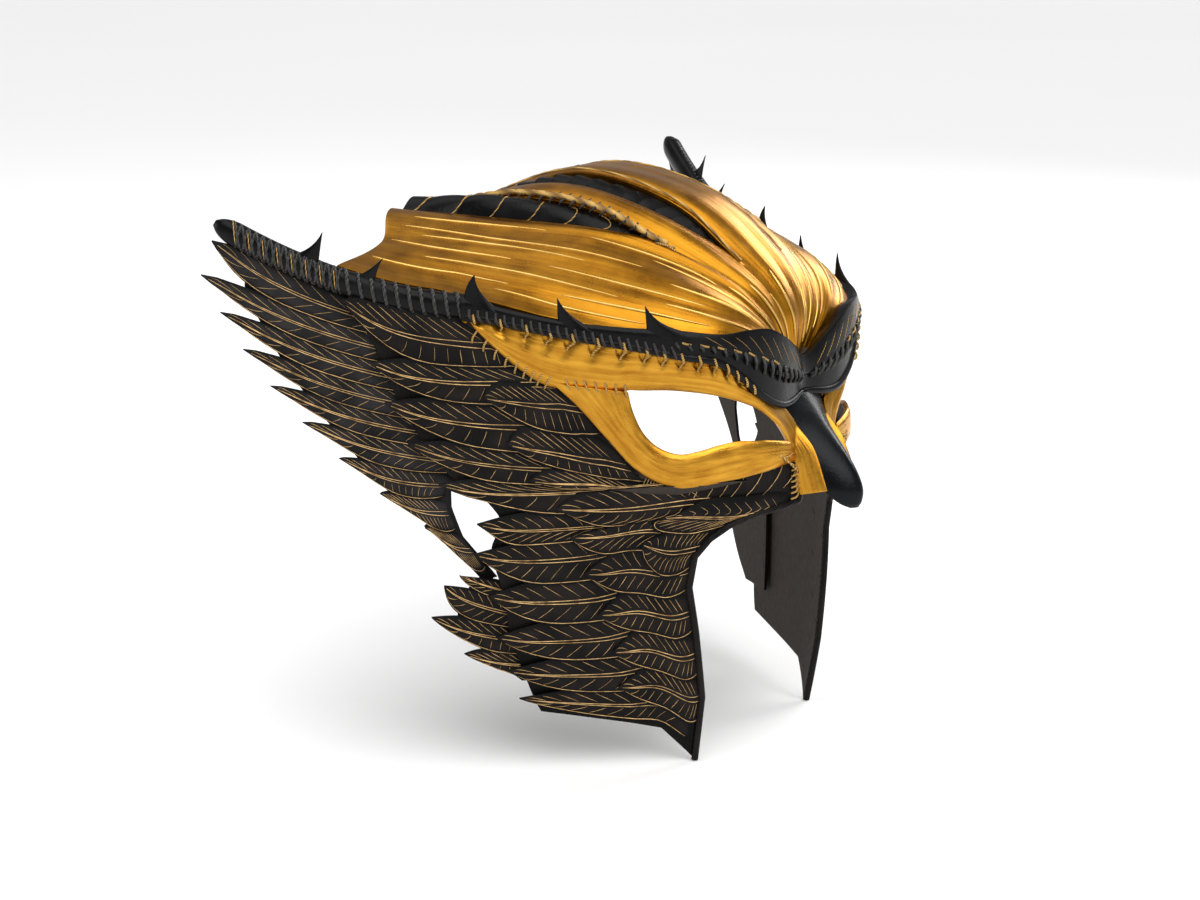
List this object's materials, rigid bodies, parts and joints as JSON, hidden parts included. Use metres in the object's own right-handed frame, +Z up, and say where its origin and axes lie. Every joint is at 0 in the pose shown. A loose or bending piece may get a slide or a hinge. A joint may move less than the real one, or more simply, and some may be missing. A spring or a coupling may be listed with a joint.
{
  "type": "leather bird mask",
  "caption": "Helmet mask of moulded gold and black leather in the form of a bird of prey, with a hooked beak, feathered cheeks and wings that sweep back.",
  "frame": {"origin": "the seat at the top of the wearer's head, on the inside of the crown", "axes": "+Z up, the face looks along -Y, the wearer's right is -X"},
  "size_m": [0.3398, 0.2029, 0.2356],
  "materials": {
    "gold_leather": "metallic gold, burnished, with tooled lines",
    "black_leather": "black, satin",
    "feather_leather": "black brown, tooled as feathers with gold lines"
  },
  "bodies": {
    "root": {"crown": "gold_leather", "inner_strip_right": "black_leather", "inner_strip_left": "black_leather", "outer_strip_right": "black_leather", "outer_strip_left": "black_leather", "brow_right": "black_leather", "brow_left": "black_leather", "wing_roll_right": "black_leather", "wing_roll_left": "black_leather", "upper_lid_right": "gold_leather", "upper_lid_left": "gold_leather", "lower_lid_right": "gold_leather", "lower_lid_left": "gold_leather", "beak": "black_leather", "cheek_right": "feather_leather", "cheek_left": "feather_leather", "wing_right": "feather_leather", "wing_left": "feather_leather", "jaw_feathers_right": "feather_leather", "jaw_feathers_left": "feather_leather"}
  },
  "joints": []
}
